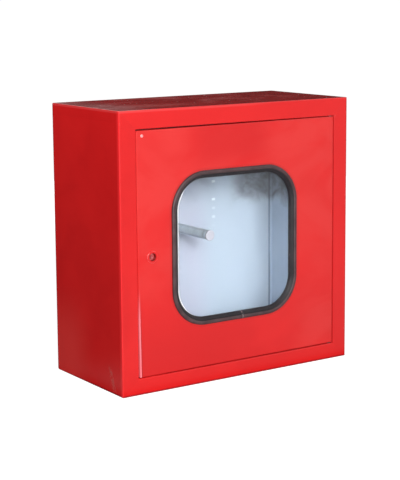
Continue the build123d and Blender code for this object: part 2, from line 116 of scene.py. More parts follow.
class Look:
    """One procedural material. Its patterns follow the piece's own coordinates, so they move with it."""

    def __init__(self, name, settings):
        self.material = bpy.data.materials.new(name)
        self.material.use_nodes = True
        self.tree = self.material.node_tree
        self.tree.nodes.clear()
        self.shader = self.add("ShaderNodeBsdfPrincipled", settings)
        self.output = self.add("ShaderNodeOutputMaterial", {"Surface": self.shader.outputs[0]})
        coordinates = self.add("ShaderNodeTexCoord")
        self.point = coordinates.outputs["Object"]
        self.normal = coordinates.outputs["Normal"]

    def put(self, socket, value):
        """Links a node's output to the socket, or sets the socket's value."""
        if isinstance(value, bpy.types.NodeSocket):
            self.tree.links.new(value, socket)
        elif socket.type == "RGBA":
            socket.default_value = (*value, 1.0)
        else:
            socket.default_value = value

    def add(self, kind, inputs=None, **properties):
        node = self.tree.nodes.new(kind)
        for name, value in properties.items():
            setattr(node, name, value)
        for name, value in (inputs or {}).items():
            self.put(node.inputs[name], value)
        return node

    def set(self, name, value):
        self.put(self.shader.inputs[name], value)

    def finish(self, colour, roughness, normal):
        """Sets what most materials end with, and gives the material."""
        self.set("Base Color", colour)
        self.set("Roughness", roughness)
        self.set("Normal", normal)
        return self.material

    def math(self, operation, a, b=0.0, c=0.0):
        return self.add("ShaderNodeMath", {0: a, 1: b, 2: c}, operation=operation).outputs[0]

    def minus(self, a, b):
        return self.math("SUBTRACT", a, b)

    def over(self, value, limit):
        """1 where the value is over the limit, else 0."""
        return self.math("GREATER_THAN", value, limit)

    def multiply(self, *values):
        result = values[0]
        for value in values[1:]:
            result = self.math("MULTIPLY", result, value)
        return result

    def least(self, *values):
        result = values[0]
        for value in values[1:]:
            result = self.math("MINIMUM", result, value)
        return result

    def most(self, *values):
        result = values[0]
        for value in values[1:]:
            result = self.math("MAXIMUM", result, value)
        return result

    def axes(self, point=None):
        return self.add("ShaderNodeSeparateXYZ", {0: point or self.point}).outputs

    def stretched(self, x, y, z):
        """The coordinates, scaled along each axis, for patterns with a direction."""
        return self.add("ShaderNodeMapping", {"Vector": self.point, "Scale": (x, y, z)}).outputs[0]

    def noise(self, scale, detail=2.0, rough=0.5, twist=0.0, point=None):
        inputs = {"Vector": point or self.point, "Scale": scale, "Detail": detail}
        inputs.update({"Roughness": rough, "Distortion": twist})
        return self.add("ShaderNodeTexNoise", inputs).outputs[0]

    def cells(self, scale, output="Distance"):
        inputs = {"Vector": self.point, "Scale": scale}
        return self.add("ShaderNodeTexVoronoi", inputs, feature="F1").outputs[output]

    def ramp(self, value, start, end, low=0.0, high=1.0):
        """A smooth step of the value, from low at start to high at end."""
        inputs = {0: value, 1: start, 2: end, 3: low, 4: high}
        return self.add("ShaderNodeMapRange", inputs, interpolation_type="SMOOTHSTEP").outputs[0]

    def band(self, value, centre, half_width, softness):
        """1 where the value is within half_width of the centre, falling to 0 over softness."""
        distance = self.math("ABSOLUTE", self.math("SUBTRACT", value, centre))
        return self.ramp(distance, half_width, half_width + softness, 1.0, 0.0)

    def mix(self, factor, a, b):
        return self.add("ShaderNodeMix", {0: factor, 6: a, 7: b}, data_type="RGBA").outputs[2]

    def bump(self, height, distance, strength=1.0, normal=None):
        inputs = {"Height": height, "Distance": distance, "Strength": strength}
        if normal is not None:
            inputs["Normal"] = normal
        return self.add("ShaderNodeBump", inputs).outputs[0]


def outside_opening(look, x, z):
    """How far a point is outside the door opening, measured square to the nearest side of it."""
    left, right, bottom, top = OPENING
    return look.most(look.minus(left, x), look.minus(x, right), look.minus(bottom, z), look.minus(z, top))


def inside_casing(look, x, z):
    """How far a point is inside the casing's outer skin."""
    return look.least(look.minus(x, LEFT), look.minus(RIGHT, x), look.minus(z, BOTTOM), look.minus(TOP, z))


def outside_window(look, x, z):
    """Distance from the round-cornered outline of the window's rubber."""
    squares = []
    for axis, place in ((0, x), (2, z)):
        half = (WINDOW_HIGH[axis] - WINDOW_LOW[axis]) / 2 - WINDOW_RADIUS
        beyond = look.minus(look.math("ABSOLUTE", look.minus(place, WINDOW_CENTRE[axis])), half)
        squares.append(look.math("POWER", look.most(beyond, 0.0), 2.0))
    return look.minus(look.math("SQRT", look.math("ADD", *squares)), WINDOW_RADIUS)


def distance_from(look, x, z, centre):
    """Distance in the front plane from a centre."""
    squares = [look.math("POWER", look.minus(a, b), 2.0) for a, b in ((x, centre.x), (z, centre.z))]
    return look.math("SQRT", look.math("ADD", *squares))


def gap_shade(look, x, z):
    """1 along a line of painted shade round the door opening, fading out towards its free side."""
    near = look.band(outside_opening(look, x, z), -1.2 * MM, 1.8 * MM, 1.4 * MM)
    return look.multiply(near, look.ramp(x, LEFT + 45 * MM, LEFT + 130 * MM))


def wall_inside(look):
    """1 on the white inner faces of a wall, 0 on its red outer faces, front frame and stop."""
    x, y, z = look.axes()
    depth = look.minus(y, FRONT)
    behind_stop = look.over(depth, STOP_DEPTH + PAINT_STEP)
    in_frame = look.multiply(look.over(depth, PAINT_STEP), look.over(outside_opening(look, x, z), PAINT_STEP))
    skin = inside_casing(look, x, z)
    outer_seam = look.multiply(look.over(y, BACK - 1.5 * SHEET), look.math("LESS_THAN", skin, 4 * MM))
    return look.multiply(
        look.over(skin, PAINT_STEP), look.minus(1.0, outer_seam), look.most(behind_stop, in_frame)
    )


def back_inside(look):
    """1 on the back panel's front face and rim, 0 on the face against the wall."""
    return look.math("LESS_THAN", look.axes()[1], BACK - PAINT_STEP)


def door_inside(look):
    """1 inside the door tray and on the back of its folded edges, 0 on its front and outer edges."""
    x, y, z = look.axes()
    edge = look.least(
        look.minus(x, DOOR_LOW.x), look.minus(DOOR_HIGH.x, x),
        look.minus(z, DOOR_LOW.z), look.minus(DOOR_HIGH.z, z),
    )
    facing_back = look.over(look.axes(look.normal)[1], 0.3)
    behind_sheet = look.multiply(facing_back, look.over(edge, 4 * MM))
    # The white paint ends in a ragged line part of the way along the folded edges.
    paint_line = look.math("MULTIPLY_ADD", look.noise(60, 3), 2.4 * MM, 11.5 * MM)
    fold = look.ramp(look.minus(look.minus(y, FRONT), paint_line), 0.0, 0.5 * MM)
    return look.most(behind_sheet, fold)


def rubbed_edge_highlight(look):
    """1 where the door's free edge shows its undercoat low down, which also stands for a painted highlight,
    and 1 on the rim of that, a line of painted shade.
    """
    x, y, z = look.axes()
    from_edge = look.minus(x, DOOR_LOW.x)
    ragged = look.math("MULTIPLY_ADD", look.noise(240, 3), 0.8 * MM, 1.5 * MM)
    bare_highlight = look.ramp(from_edge, ragged, look.math("ADD", ragged, 0.5 * MM), 1.0, 0.0)
    rim = look.band(from_edge, 3.6 * MM, 0.5 * MM, 0.8 * MM)
    reach = look.math("MULTIPLY_ADD", look.noise(34, 2), 30 * MM, 90 * MM)
    low = look.ramp(look.minus(z, DOOR_LOW.z), reach, look.math("ADD", reach, 95 * MM), 1.0, 0.0)
    outside = look.math("LESS_THAN", y, FRONT + 11 * MM)
    return look.multiply(bare_highlight, low, outside), look.multiply(rim, low, outside)


def seam_distance(look, across, up, start, end):
    """Distance from the straight line through two points, in the plane of two coordinates."""
    run_across, run_up = end[0] - start[0], end[1] - start[1]
    length = math.hypot(run_across, run_up)
    return look.math("ABSOLUTE", look.minus(
        look.multiply(look.minus(across, start[0]), run_up / length),
        look.multiply(look.minus(up, start[1]), run_across / length),
    ))


def mitre_seams(look):
    """The distance to the nearest of the four ground weld seams across the front frame's corners."""
    x, y, z = look.axes()
    left, right, bottom, top = OPENING
    corners = [
        ((LEFT, TOP), (left, top)),
        ((RIGHT, TOP), (right, top)),
        ((LEFT, BOTTOM), (left, bottom)),
        ((RIGHT, BOTTOM), (right, bottom)),
    ]
    nearest = look.least(*[seam_distance(look, x, z, start, end) for start, end in corners])
    # Inside the door opening every point counts as far away.
    on_frame = look.over(outside_opening(look, x, z), -1 * MM)
    return look.math("ADD", nearest, look.ramp(on_frame, 1.0, 0.0, 0.0, 1.0))


def outer_edges(look, low, high, reach):
    """1 near the outer edges of the box low to high, where two of its faces meet."""
    total = 0.0
    for axis, place in enumerate(look.axes()):
        for limit, sign in ((low[axis], 1), (high[axis], -1)):
            distance = look.multiply(look.minus(place, limit), sign)
            total = look.math("ADD", total, look.ramp(distance, reach * 0.4, reach, 1.0, 0.0))
    return look.ramp(total, 1.05, 1.9)


def mottled_red(look, mottle):
    """Red with clouds and blotches of a deeper red."""
    clouds = look.ramp(look.noise(5.5, 2, 0.5, 0.6), 0.35, 0.68)
    blotches = look.ramp(look.noise(15, 2, 0.5, 0.4), 0.4, 0.75)
    uneven = look.math("MULTIPLY_ADD", blotches, 0.3, look.multiply(clouds, 0.7))
    return look.mix(look.multiply(uneven, mottle), RED, RED_DEEP)


def door_sheen_haze(look, red, sheen_haze):
    """A milky veil that is also a painted sheen of reflected light, stronger towards the top and right, with
    a darker ring round the window and deeper red below and above it.
    """
    x, y, z = look.axes()
    milky = look.ramp(look.noise(4.5, 3, 0.55, 0.9, look.stretched(1, 1, 1.5)), 0.36, 0.62)
    higher = look.most(
        look.ramp(z, BOTTOM + 60 * MM, BOTTOM + 380 * MM, 0.1, 1.0), look.ramp(x, 90 * MM, 230 * MM, 0.0, 0.8)
    )
    # Painted sheen: the milky veil lightens the red, more towards the top and the right.
    red = look.mix(look.multiply(look.math("MULTIPLY_ADD", milky, sheen_haze, 0.15), higher), red, RED_SHEEN_HAZE)
    ring = look.ramp(outside_window(look, x, z), 7 * MM, 0.0, 0.0, 0.4)
    red = look.mix(ring, red, RED_DARK_RING)
    low = look.multiply(
        look.ramp(z, BOTTOM + 230 * MM, BOTTOM + 70 * MM), look.ramp(x, 120 * MM, -60 * MM)
    )
    high = look.multiply(
        look.ramp(z, TOP - 160 * MM, TOP - 90 * MM), look.band(x, -20 * MM, 50 * MM, 90 * MM)
    )
    return look.mix(look.multiply(look.most(low, high), 0.75), red, RED_DEEP)


def at_edges(look, red):
    """Painted shade on the casing's bends and along the door gap, painted light deep in the gap, a painted
    highlight under the top edge, and wear that is partly a painted highlight, and chips, on the outer edges.
    """
    x, y, z = look.axes()
    # Painted shade: darker on the bottom bend, and on the right bend and all of the face beyond it.
    low_bend_shade = look.ramp(z, BOTTOM + 5.5 * MM, BOTTOM + 1.8 * MM, 0.0, 0.65)
    right_bend_shade = look.ramp(x, RIGHT - 5 * MM, RIGHT - 2 * MM, 0.0, 0.35)
    red = look.mix(look.most(low_bend_shade, right_bend_shade), red, RED_SHADED)
    # Painted light: faces deep in the door gap are a brighter red.
    lit_gap_faces = look.band(outside_opening(look, x, z), 0.0, 4 * MM, 0.5 * MM)
    red = look.mix(look.multiply(look.over(y, FRONT + 2.6 * MM), lit_gap_faces), red, RED_GAP_LIT)
    # Painted shade: a dark line round the door opening deepens the gap's shadow.
    red = look.mix(look.multiply(gap_shade(look, x, z), 0.26), red, RED_GAP_SHADE)
    # Painted highlight: a lighter line just below the top bend, fading out to the right.
    top_highlight = look.band(z, TOP - 3.4 * MM, 1.0 * MM, 1.4 * MM)
    red = look.mix(look.multiply(top_highlight, look.ramp(x, 120 * MM, -60 * MM, 0.0, 0.28)), red, RED_TOP_HIGHLIGHT)

    edges = outer_edges(look, (LEFT, FRONT, BOTTOM), (RIGHT, BACK, TOP), 2.6 * MM)
    # Wear along the outer edges in a lighter red, which is also a painted highlight along them.
    edge_wear_highlight = look.multiply(edges, look.ramp(look.noise(38, 4, 0.6), 0.42, 0.62))
    red = look.mix(look.multiply(edge_wear_highlight, 0.15), red, RED_WORN_HIGHLIGHT)
    chipped = look.multiply(edges, look.ramp(look.noise(120, 4, 0.7), 0.68, 0.72))
    return look.mix(look.multiply(chipped, 0.7), red, BARE_STEEL)


def settled_dust(look, red, rough):
    """Dust in patches on the faces that look up, wiped off near the front and paler at the left end."""
    x, y, z = look.axes()
    facing_up = look.ramp(look.axes(look.normal)[2], 0.5, 0.9)
    patches = look.ramp(look.noise(6.5, 4, 0.6, 0.8, look.stretched(1, 1.6, 1)), 0.42, 0.66)
    wiped = look.ramp(y, FRONT + 8 * MM, FRONT + 75 * MM, 0.1, 1.0)
    settled = look.multiply(facing_up, wiped, look.math("MULTIPLY_ADD", patches, 0.20, 0.02))
    # The top is paler and greyer at its left end.
    left_end = look.multiply(facing_up, look.ramp(x, LEFT + 120 * MM, LEFT + 10 * MM, 0.0, 0.30))
    red = look.mix(left_end, look.mix(settled, red, DUST), PALE_TOP_GREY)
    return red, look.math("MULTIPLY_ADD", settled, 0.5, rough)


def side_wear(look, red, rough):
    """A slanting scuff, a painted highlight beside the front bend and a paler lower back corner, on the left
    side.
    """
    x, y, z = look.axes()
    scuff = look.multiply(side_scuff(look), look.ramp(look.noise(90, 4, 0.65), 0.32, 0.6))
    red = look.mix(look.multiply(scuff, 0.30), red, SCUFF)
    outer_face = look.math("LESS_THAN", x, LEFT + 1 * MM)
    # Painted highlight: the side is lighter next to its front bend.
    bend_highlight = look.multiply(look.ramp(y, FRONT + 13 * MM, FRONT + 3 * MM), outer_face)
    red = look.mix(look.multiply(bend_highlight, 0.7), red, RED_BEND_HIGHLIGHT)
    low = look.ramp(z, BOTTOM + 210 * MM, BOTTOM + 60 * MM)
    paler_low_back = look.multiply(low, look.ramp(y, FRONT + 110 * MM, BACK - 60 * MM))
    red = look.mix(look.multiply(paler_low_back, 0.75), red, RED_PALER)
    return red, look.math("MULTIPLY_ADD", scuff, 0.25, rough)


def ground_seams(look, red, normal):
    """Weld seams ground flat, with a fine crack left in the paint."""
    near = mitre_seams(look)
    ground = look.ramp(near, 4.5 * MM, 0.0)
    crack = look.ramp(near, 0.5 * MM, 0.1 * MM)
    dip = look.math("MULTIPLY_ADD", crack, -0.2, look.multiply(ground, -0.35))
    return look.mix(look.multiply(crack, 0.06), red, RED_CRACK), look.bump(dip, 0.5 * MM, 0.5, normal)


def white_paint(look, normal, shaded_high, back_marks):
    """The white inside, darker in the joint round the back panel, with the back panel's pale dots and painted
    shade high up where asked.
    """
    x, y, z = look.axes()
    grey = look.ramp(look.noise(7, 4, 0.6, 0.5), 0.35, 0.75)
    pale, dull = (WHITE, WHITE_DULL) if back_marks else (WALL_WHITE, WALL_DULL)
    white = look.mix(look.multiply(grey, 0.5), pale, dull)
    if back_marks:
        white, normal = back_panel_marks(look, white, normal)
    joint = look.band(inside_casing(look, x, z), 8.5 * MM, 0.6 * MM, 3 * MM)
    white = look.mix(look.multiply(look.over(y, BACK - 6 * MM), joint, 0.8), white, DARK_JOINT)
    # Painted shade: mottled darkening high up inside.
    if shaded_high:
        white = look.mix(look.multiply(high_inside_shade(look), 0.88), white, DARK_HIGH_INSIDE)
    return white, normal


def enamel(
    name, inside, mottle=0.4, sheen_haze=0.0,
    seams=False, dusty=False, scuffed=False, rubbed_highlight=False, shaded_high=True, back_marks=False,
):
    """Sprayed gloss enamel on folded sheet: red outside, white where inside says so."""
    look = Look(name, {"IOR": 1.5})
    red = mottled_red(look, mottle)
    if sheen_haze:
        red = door_sheen_haze(look, red, sheen_haze)
    red = at_edges(look, red)
    rough = look.math("MULTIPLY_ADD", look.noise(11, 3, 0.55), 0.12, 0.13)
    if dusty:
        red, rough = settled_dust(look, red, rough)
    if scuffed:
        red, rough = side_wear(look, red, rough)
    if rubbed_highlight:
        bare_highlight, rim = rubbed_edge_highlight(look)
        # Painted shade on the rim; the pale undercoat low down is also a painted highlight.
        red = look.mix(look.multiply(rim, 0.5), red, RED_RIM_SHADE)
        red = look.mix(bare_highlight, red, UNDERCOAT_HIGHLIGHT)

    # The sheet waves slightly, and the sprayed surface is finely pitted.
    normal = look.bump(look.noise(4.2, 2, 0.4), 2.2 * MM, 0.5)
    normal = look.bump(look.noise(420, 2, 0.5), 0.015 * MM, 0.5, normal)
    if seams:
        red, normal = ground_seams(look, red, normal)
    white, normal = white_paint(look, normal, shaded_high, back_marks)
    return look.finish(look.mix(inside(look), red, white), rough, normal)


def high_inside_shade(look):
    """1 in mottled patches of painted shade high up inside: a heavy one at the right and a light one further
    left.
    """
    x, y, z = look.axes()
    # The patches' edges wander by up to this much.
    wander = 75 * MM
    x = look.math("MULTIPLY_ADD", look.minus(look.noise(11, 3, 0.6), 0.5), wander, x)
    z = look.math("MULTIPLY_ADD", look.minus(look.noise(14, 3, 0.6, 0.4), 0.5), wander, z)
    blots = look.ramp(look.noise(22, 4, 0.65, 0.6), 0.36, 0.60)
    right = look.multiply(look.ramp(x, 150 * MM, 225 * MM), look.ramp(z, TOP - 278 * MM, TOP - 242 * MM))
    left = look.multiply(
        look.band(x, 70 * MM, 30 * MM, 45 * MM), look.ramp(z, TOP - 265 * MM, TOP - 205 * MM, 0.0, 0.5)
    )
    return look.multiply(look.most(right, left), look.math("MULTIPLY_ADD", blots, 0.35, 0.65))


def side_scuff(look):
    """1 along a slanting scuff on the left side, low down near the front."""
    x, y, z = look.axes()
    top, low = (FRONT + 52 * MM, BOTTOM + 52 * MM), (FRONT + 34 * MM, BOTTOM + 6 * MM)
    across = seam_distance(look, y, z, top, low)
    within = look.band(z, (top[1] + low[1]) / 2, 18 * MM, 14 * MM)
    on_side = look.math("LESS_THAN", x, LEFT + 0.2 * MM)
    return look.multiply(look.ramp(across, 10 * MM, 0.5 * MM), within, on_side)


DOT_COLUMN_X = 126 * MM
# Each pale dot's height and how plainly it shows.
PALE_DOTS = [
    (TOP - 208 * MM, 1.0),
    (TOP - 251 * MM, 0.9),
    (TOP - 272 * MM, 0.3),
    (TOP - 293 * MM, 0.45),
    (TOP - 314 * MM, 0.12),
]


def back_panel_marks(look, white, normal):
    """A column of pale dots with slight dips, a painted shadow below the peg, and a painted reflection that
    turns the white lavender at the left.
    """
    x, y, z = look.axes()
    along = look.band(x, DOT_COLUMN_X, 3.2 * MM, 2.8 * MM)
    spots = 0.0
    for height, strength in PALE_DOTS:
        spots = look.math("MULTIPLY_ADD", look.band(z, height, 1.9 * MM, 1.9 * MM), strength, spots)
    spots = look.multiply(spots, along)
    # Painted reflection: the white turns lavender in clouds towards the left.
    cloudy = look.ramp(look.noise(6, 3, 0.5, 0.5), 0.3, 0.6, 0.35, 1.0)
    white = look.mix(look.multiply(look.ramp(x, 135 * MM, 60 * MM), cloudy), white, LAVENDER_REFLECTION)
    white = look.mix(look.least(spots, 1.0), white, PALE_DOT)
    # Painted shadow: a soft grey streak running down to the right below the peg.
    shadow_line = seam_distance(look, x, z, (PEG_X, PEG_Z - 9 * MM), (PEG_X + 98 * MM, PEG_Z - 66 * MM))
    smear = look.multiply(
        look.ramp(shadow_line, 14 * MM, 2 * MM), look.ramp(x, PEG_X + 105 * MM, PEG_X + 45 * MM)
    )
    white = look.mix(look.multiply(smear, look.over(x, PEG_X), 0.22), white, PEG_SHADOW_GREY)
    return white, look.bump(spots, 0.5 * MM, 0.6, normal)


def white_enamel(name):
    """Satin white enamel of the plates and brackets inside, a little grimy."""
    look = Look(name, {"IOR": 1.48, "Specular IOR Level": 0.45})
    grey = look.ramp(look.noise(26, 4, 0.6, 0.5), 0.35, 0.75)
    colour = look.mix(look.multiply(grey, 0.5), WHITE, WHITE_DULL)
    rough = look.math("MULTIPLY_ADD", look.noise(40, 3), 0.2, 0.28)
    return look.finish(colour, rough, look.bump(look.noise(500, 2), 0.02 * MM, 0.5))


def plated(name, colour, stain, roughness, grain):
    """Bare or plated metal with a fine grain and a cloudy stain."""
    look = Look(name, {"Metallic": 1.0})
    cloud = look.ramp(look.noise(60, 4, 0.6), 0.35, 0.7)
    fine = look.noise(grain, 3, 0.6, 0.0)
    rough = look.math("MULTIPLY_ADD", fine, 0.22, roughness - 0.08)
    rough = look.math("MULTIPLY_ADD", cloud, 0.10, rough)
    stained = look.mix(look.multiply(cloud, 0.6), colour, stain)
    return look.finish(stained, rough, look.bump(fine, 0.03 * MM, 0.7))


def galvanised():
    """The peg's dull zinc: faint crystal spangle, and painted shade below, along its top and at its cap."""
    look = Look("galvanised_tube", {"Metallic": 0.55})
    spangle = look.cells(130, output="Color")
    tone = look.ramp(look.axes(spangle)[0], 0.0, 1.0)
    cloud = look.ramp(look.noise(30, 4, 0.6), 0.3, 0.7)
    base = look.mix(look.multiply(tone, 0.5), (0.71, 0.78, 0.86), (0.60, 0.67, 0.75))
    base = look.mix(look.multiply(cloud, 0.4), base, (0.58, 0.64, 0.68))
    x, y, z = look.axes()
    # Painted shade: darker beneath the tube, along its top and in a ring next to its cap.
    shade_beneath = look.ramp(z, PEG_Z - 2 * MM, PEG_Z - 9 * MM, 0.0, 0.65)
    shade_on_top = look.ramp(z, PEG_Z + 7 * MM, PEG_Z + 10.5 * MM, 0.0, 0.4)
    cap_shade = look.multiply(look.band(y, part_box("hose_peg_end_cap")[1].y, 2.5 * MM, 2 * MM), 0.35)
    colour = look.mix(look.most(shade_beneath, shade_on_top, cap_shade), base, (0.20, 0.225, 0.25))
    rough = look.math("MULTIPLY_ADD", tone, 0.16, 0.34)
    return look.finish(colour, rough, look.bump(look.noise(300, 3), 0.03 * MM, 0.5))


def rubber(name, colour, dust, shine):
    """Extruded rubber: dark, with a dusty bloom and fine lines from the die."""
    look = Look(name, {"IOR": 1.52, "Specular IOR Level": shine})
    bloom = look.ramp(look.noise(34, 5, 0.62, 0.6), 0.3, 0.72)
    fine = look.noise(420, 3, 0.6)
    tone = look.mix(look.multiply(bloom, 0.55), colour, dust)
    colour = look.mix(look.multiply(look.ramp(fine, 0.5, 0.8), 0.3), tone, dust)
    normal = look.bump(fine, 0.05 * MM, 0.7, look.bump(look.noise(90, 3), 0.15 * MM, 0.6))
    return look.finish(colour, look.math("MULTIPLY_ADD", bloom, 0.22, 0.36), normal)


def foam():
    """Black cellular foam of the door seal."""
    look = Look("seal_foam", {"Specular IOR Level": 0.2})
    pores = look.cells(900)
    colour = look.mix(look.ramp(pores, 0.2, 0.6), (0.012, 0.012, 0.013), (0.05, 0.05, 0.052))
    return look.finish(colour, 0.95, look.bump(pores, 0.3 * MM, 0.8))


def plastic(name, colour, shade, roughness):
    """Moulded plastic or sealant with uneven wear."""
    look = Look(name, {"IOR": 1.46, "Specular IOR Level": 0.5})
    edge_wear_highlight = look.ramp(look.noise(80, 4, 0.6), 0.35, 0.75)
    rough = look.math("MULTIPLY_ADD", edge_wear_highlight, 0.18, roughness)
    normal = look.bump(look.noise(700, 2), 0.02 * MM, 0.5)
    return look.finish(look.mix(look.multiply(edge_wear_highlight, 0.5), colour, shade), rough, normal)


def glass():
    """Clear float glass. Lamps reach what is behind it."""
    look = Look("pane_glass", {"IOR": 1.5, "Transmission Weight": 1.0})
    smear = look.ramp(look.noise(9, 5, 0.65, 0.9, look.stretched(1, 1, 0.5)), 0.5, 0.8)
    look.set("Base Color", look.mix(smear, (0.975, 0.99, 0.985), (0.95, 0.965, 0.965)))
    look.set("Roughness", look.multiply(smear, 0.012))
    look.set("Normal", look.bump(look.noise(5, 2), 0.25 * MM, 0.4))
    clear = look.add("ShaderNodeBsdfTransparent", {"Color": (0.94, 0.965, 0.96)})
    shadow = look.add("ShaderNodeLightPath").outputs["Is Shadow Ray"]
    split = look.add("ShaderNodeMixShader", {0: shadow, 1: look.shader.outputs[0], 2: clear.outputs[0]})
    look.put(look.output.inputs["Surface"], split.outputs[0])
    return look.material


def give(material, *names):
    """Puts the material on CAD nodes."""
    for name in names:
        slots = nodes[name].data.materials
        slots.clear()
        slots.append(material)


def lock_enamel():
    """Red enamel, darker in the recess and with wear on the rim."""
    look = Look("lock_enamel", {"IOR": 1.5, "Coat Weight": 0.2, "Coat Roughness": 0.2})
    x, y, z = look.axes()
    radius = distance_from(look, x, z, LOCK)
    in_recess = look.multiply(look.ramp(radius, 9.2 * MM, 8.4 * MM), look.ramp(y, FRONT - 1.5 * MM, FRONT))
    red = look.mix(look.multiply(look.noise(60, 4), 0.4), RED, RED_DEEP)
    red = look.mix(look.multiply(in_recess, 0.85), red, RED_IN_LOCK)
    rim = look.multiply(look.ramp(radius, 11.6 * MM, 12.4 * MM), look.ramp(look.noise(150, 3), 0.4, 0.6))
    red = look.mix(look.multiply(rim, 0.4), red, RED_RUBBED)
    rough = look.math("MULTIPLY_ADD", look.noise(70, 3), 0.15, 0.24)
    return look.finish(red, rough, look.bump(look.noise(300, 2), 0.03 * MM, 0.5))


def rivet_paint():
    """Red paint on a pop rivet: a pale ring where the paint is knocked off, which also stands for painted
    highlights, round a middle painted dark as the shade of a hole.
    """
    look = Look("rivet_paint", {"IOR": 1.45})
    x, y, z = look.axes()
    low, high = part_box("door_buffer_rivet")
    radius = distance_from(look, x, z, (low + high) / 2)
    knocked = look.ramp(look.noise(190, 2), 0.34, 0.5)
    # The pale ring is knocked-off paint and also a painted highlight; the dark middle is painted shade.
    ring = look.multiply(look.band(radius, 2.3 * MM, 0.8 * MM, 0.4 * MM), knocked)
    hole_shade = look.ramp(radius, 1.3 * MM, 0.9 * MM)
    red = look.mix(look.multiply(ring, 0.9), RED, (0.95, 0.58, 0.58))
    red = look.mix(hole_shade, red, (0.30, 0.01, 0.012))
    rough = look.math("MULTIPLY_ADD", look.noise(300, 2), 0.15, 0.38)
    return look.finish(red, rough, look.bump(look.noise(500, 2), 0.03 * MM, 0.5))


def sprayed_metal(name, metal, spray, share, metallic):
    """Bare metal partly covered by red overspray."""
    look = Look(name, {"Metallic": metallic})
    cover = look.ramp(look.noise(260, 3, 0.6), 0.62 - share, 0.78 - share)
    rough = look.math("MULTIPLY_ADD", cover, 0.1, 0.34)
    normal = look.bump(look.noise(600, 3), 0.03 * MM, 0.6)
    return look.finish(look.mix(cover, metal, spray), rough, normal)


def paint_all():
    """Every CAD node that is kept gets its material."""
    give(enamel("side_enamel", wall_inside, seams=True, mottle=0.7, scuffed=True), "side_wall_left")
    give(enamel("wall_enamel", wall_inside, seams=True), "side_wall_right", "bottom_wall")
    give(enamel("top_enamel", wall_inside, seams=True, dusty=True), "top_wall")
    give(enamel("back_enamel", back_inside, back_marks=True), "back_panel")
    give(lock_enamel(), "lock_housing")
    give(rivet_paint(), "door_buffer_rivet")
    give(
        white_enamel("plate_enamel"),
        "hose_peg_plate",
        "latch_strike_plate",
        "hinge_bracket_top",
        "hinge_bracket_bottom",
    )
    give(galvanised(), "hose_peg_tube")
    zinc = plated("bright_zinc", (0.66, 0.66, 0.64), (0.52, 0.50, 0.44), 0.30, 260)
    give(zinc, "peg_weld_studs", "peg_washers", "peg_nuts", "hinge_pin_top", "hinge_pin_bottom")
    give(zinc, "lock_nut", "lock_cam", "lock_cam_screw")
    square = sprayed_metal("cast_zinc_square", (0.52, 0.135, 0.14), (0.46, 0.05, 0.055), 0.2, 0.2)
    give(square, "lock_spindle")
    give(rubber("buffer_rubber", (0.02, 0.02, 0.02), (0.06, 0.06, 0.06), 0.4), "door_buffer")
    give(foam(), "door_seal")
    nylon = plastic("washer_nylon", (0.022, 0.020, 0.020), (0.045, 0.042, 0.042), 0.40)
    give(nylon, "hinge_washer_top", "hinge_washer_bottom")
    give(plastic("cap_plastic", (0.32, 0.31, 0.355), (0.27, 0.26, 0.30), 0.36), "hose_peg_end_cap")
    give(glass(), "window_pane")


# ---------------------------------------------------------------- pieces made here

def mesh_piece(name, points, faces, material, smooth=True):
    """A new mesh object of one material."""
    mesh = bpy.data.meshes.new(name)
    mesh.from_pydata(points, [], faces)
    mesh.update()
    for polygon in mesh.polygons:
        polygon.use_smooth = smooth
    mesh.materials.append(material)
    piece = bpy.data.objects.new(name, mesh)
    bpy.context.scene.collection.objects.link(piece)
    return piece


def arc_points(start, middle, end, steps):
    """Points along a bulging line through three points, without its last one."""
    control = middle * 2 - (start + end) / 2
    line = []
    for step in range(steps):
        t = step / steps
        line.append(start * (1 - t) ** 2 + control * 2 * t * (1 - t) + end * t ** 2)
    return line


def window_path():
    """Points round the window's outer outline with their inward directions, from the rubber's butt joint."""
    half_x = (WINDOW_HIGH.x - WINDOW_LOW.x) / 2 - WINDOW_RADIUS
    half_z = (WINDOW_HIGH.z - WINDOW_LOW.z) / 2 - WINDOW_RADIUS
    joint = WINDOW_CENTRE.x + JOINT_OFFSET
    outline = []

    def straight(start, end, inward):
        count = max(2, round((end - start).length / STRIP_SPACING))
        for i in range(count):
            outline.append((start + (end - start) * i / count, inward))

    def corner(cx, cz, turn):
        count = max(8, round(WINDOW_RADIUS * math.pi / 2 / STRIP_SPACING))
        for i in range(count):
            angle = turn + math.pi / 2 * i / count
            outward = Vector((math.cos(angle), math.sin(angle)))
            outline.append((Vector((cx, cz)) + outward * WINDOW_RADIUS, -outward))

    cx, cz = WINDOW_CENTRE.x, WINDOW_CENTRE.z
    low, high = cz - half_z - WINDOW_RADIUS, cz + half_z + WINDOW_RADIUS
    left, right = cx - half_x - WINDOW_RADIUS, cx + half_x + WINDOW_RADIUS
    straight(Vector((joint + JOINT_GAP / 2, low)), Vector((cx + half_x, low)), Vector((0, 1)))
    corner(cx + half_x, cz - half_z, -math.pi / 2)
    straight(Vector((right, cz - half_z)), Vector((right, cz + half_z)), Vector((-1, 0)))
    corner(cx + half_x, cz + half_z, 0)
    straight(Vector((cx + half_x, high)), Vector((cx - half_x, high)), Vector((0, -1)))
    corner(cx - half_x, cz + half_z, math.pi / 2)
    straight(Vector((left, cz + half_z)), Vector((left, cz - half_z)), Vector((1, 0)))
    corner(cx - half_x, cz - half_z, math.pi)
    straight(Vector((cx - half_x, low)), Vector((joint - JOINT_GAP / 2, low)), Vector((0, 1)))
    outline.append((Vector((joint - JOINT_GAP / 2, low)), Vector((0, 1))))
    return outline


